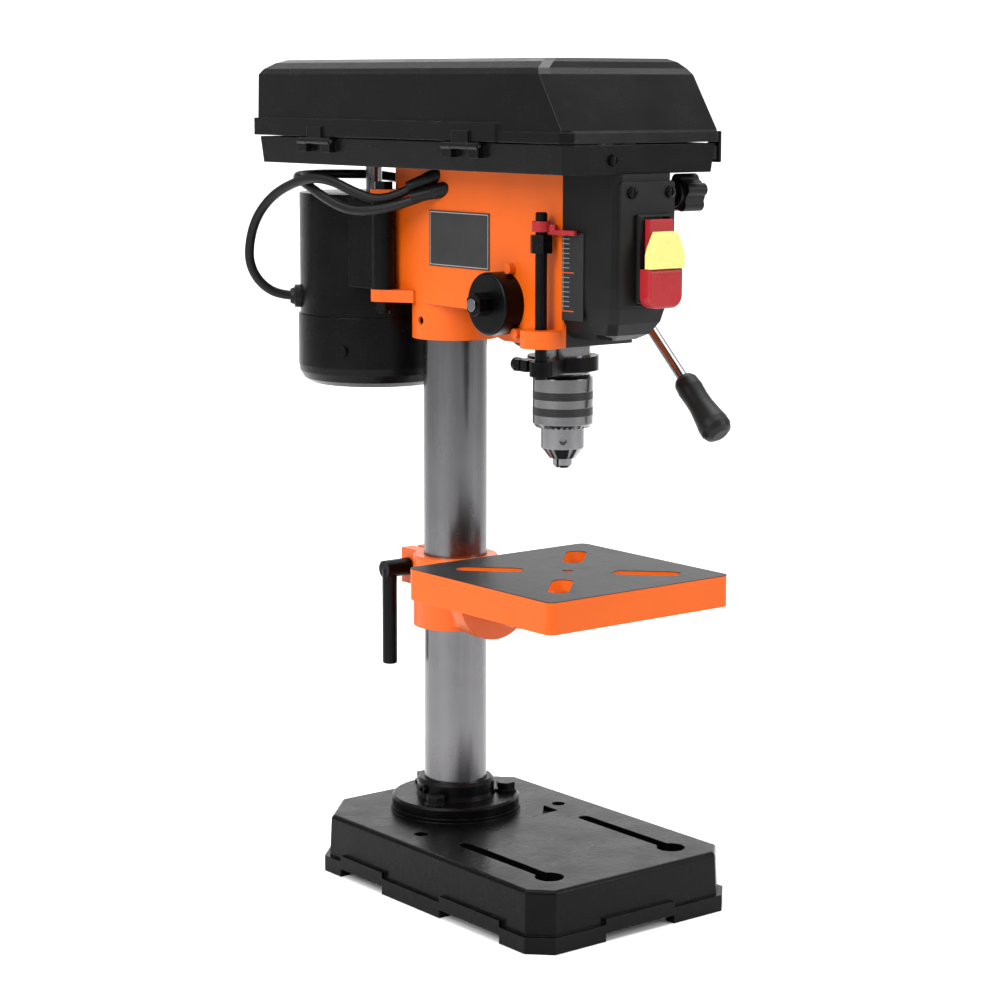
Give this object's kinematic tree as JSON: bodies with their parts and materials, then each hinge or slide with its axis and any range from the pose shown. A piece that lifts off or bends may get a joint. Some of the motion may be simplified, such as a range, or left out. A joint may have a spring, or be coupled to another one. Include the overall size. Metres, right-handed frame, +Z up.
{
  "type": "bench drill press",
  "caption": "Bench drill press: ribbed base, round column, tilting slotted table, belt drive head under a hinged cover, rack-fed quill with keyed chuck.",
  "frame": {"origin": "on the column's axis, on the plane the feet stand on", "axes": "+X to the operator's right, +Y to the back (motor end), +Z up along the column"},
  "size_m": [0.2367, 0.3828, 0.5885],
  "materials": {
    "black_casting": "gloss enamel on cast iron",
    "orange_casting": "satin enamel on cast iron",
    "ground_iron": "ground flat, oiled; painted skirt",
    "column_steel": "ground tube",
    "bright_steel": "polished",
    "dark_steel": "blackened",
    "zinc_steel": "zinc plated",
    "black_plastic": "fine texture",
    "red_plastic": "moulded",
    "yellow_plastic": "moulded",
    "plate": "plain enamel plate",
    "scale": "black plate with white inch marks",
    "grip_rubber": "moulded",
    "motor_paint": "fine texture enamel",
    "motor_inner": "laminations and windings",
    "pulley_alloy": "turned",
    "belt_rubber": "cloth faced",
    "cover_paint": "gloss enamel on sheet steel",
    "cord_jacket": "extruded"
  },
  "bodies": {
    "frame": {"base_casting": "black_casting", "column_flange": "black_casting", "flange_bolts": "dark_steel", "set_screws": "dark_steel", "column": "column_steel", "head_casting": "orange_casting", "front_shell": "black_plastic", "switch_panel": "black_plastic", "pan_screws": "dark_steel", "switch_housing": "black_plastic", "paddle_pin": "zinc_steel", "data_plate": "plate", "depth_scale": "scale", "spring_cap": "dark_steel", "return_spring": "dark_steel", "sleeve_bearing": "bright_steel", "drive_belt": "belt_rubber", "hinge_bolt": "dark_steel", "belt_tray": "cover_paint", "lid_latch": "black_plastic", "hinge_pins": "zinc_steel", "cord_reliefs": "black_plastic", "motor_lead": "cord_jacket", "power_cord": "cord_jacket", "power_coil": "cord_jacket", "power_plug": "black_plastic"},
    "lid": {"belt_lid": "cover_paint"},
    "quill_unit": {"quill": "bright_steel", "quill_bearings": "bright_steel", "depth_clamp": "black_casting", "depth_clamp_screw": "dark_steel", "depth_rod": "dark_steel", "depth_nuts": "dark_steel", "depth_pointer": "red_plastic"},
    "spindle_unit": {"spindle": "bright_steel", "chuck_sleeve": "bright_steel", "chuck_body": "bright_steel", "chuck_jaws": "bright_steel"},
    "pulley_unit": {"spindle_pulley": "pulley_alloy", "pulley_sleeve": "bright_steel"},
    "feed_unit": {"feed_shaft": "bright_steel", "cap_nuts": "dark_steel", "feed_hub": "black_plastic", "feed_spokes": "bright_steel", "feed_grips": "grip_rubber"},
    "motor": {"motor_body": "motor_paint", "motor_end_shell": "motor_paint", "motor_screws": "dark_steel", "motor_stator": "motor_inner", "motor_bearings": "bright_steel", "motor_gland": "black_plastic"},
    "rotor": {"motor_rotor": "bright_steel", "motor_pulley": "pulley_alloy"},
    "tension": {"tension_knob": "black_plastic"},
    "bracket": {"table_bracket": "orange_casting", "tilt_bolt": "zinc_steel"},
    "table": {"table_top": "ground_iron"},
    "table_lever": {"clamp_lever": "dark_steel"},
    "paddle": {"switch_paddle": "red_plastic"},
    "key": {"safety_key": "yellow_plastic"}
  },
  "joints": [
    {"name": "quill_feed", "type": "slide", "parent": "frame", "child": "quill_unit", "axis": [0, 0, -1], "range_m": [0, 0.0508], "stiffness_N_per_m": 320, "springref_m": -0.1},
    {"name": "feed_turn", "type": "hinge", "parent": "frame", "child": "feed_unit", "pos_m": [0.03, -0.09593, 0.424], "axis": [1, 0, 0], "range_deg": [0, 358.3]},
    {"name": "motor_swing", "type": "hinge", "parent": "frame", "child": "motor", "pos_m": [-0.04, 0.032, 0.455], "axis": [0, 0, 1], "range_deg": [-6, 0], "deforming": ["drive_belt", "motor_lead"]},
    {"name": "motor_spin", "type": "hinge", "parent": "motor", "child": "rotor", "pos_m": [0, 0.0995, 0.42], "axis": [0, 0, 1], "continuous": true},
    {"name": "pulley_spin", "type": "hinge", "parent": "frame", "child": "pulley_unit", "pos_m": [0, -0.1215, 0.53], "axis": [0, 0, 1], "continuous": true},
    {"name": "spindle_spin", "type": "hinge", "parent": "quill_unit", "child": "spindle_unit", "pos_m": [0, -0.1215, 0.43], "axis": [0, 0, 1], "continuous": true},
    {"name": "tension_turn", "type": "hinge", "parent": "frame", "child": "tension", "pos_m": [0.046, -0.18, 0.499], "axis": [1, 0, 0], "continuous": true},
    {"name": "lid_hinge", "type": "hinge", "parent": "frame", "child": "lid", "pos_m": [-0.0703, 0, 0.531], "axis": [0, -1, 0], "range_deg": [0, 100]},
    {"name": "table_height", "type": "slide", "parent": "frame", "child": "bracket", "axis": [0, 0, -1], "range_m": [-0.038, 0.095]},
    {"name": "table_tilt", "type": "hinge", "parent": "bracket", "child": "table", "pos_m": [0, -0.06, 0.21], "axis": [0, 1, 0], "range_deg": [-45, 45]},
    {"name": "clamp_turn", "type": "hinge", "parent": "bracket", "child": "table_lever", "pos_m": [0, 0.04, 0.219], "axis": [1, 0, 0], "range_deg": [0, 120]},
    {"name": "switch_rock", "type": "hinge", "parent": "frame", "child": "paddle", "pos_m": [0.0045, -0.209, 0.469], "axis": [-1, 0, 0], "range_deg": [0, 8]},
    {"name": "key_pull", "type": "slide", "parent": "paddle", "child": "key", "axis": [0, -1, 0], "range_m": [0, 0.02]}
  ],
  "couplings": [
    {"joint": "feed_turn", "follows": "quill_feed", "rad_per_m": 123.08},
    {"joint": "pulley_spin", "follows": "motor_spin", "ratio": 0.8923},
    {"joint": "spindle_spin", "follows": "motor_spin", "ratio": 0.8923}
  ]
}
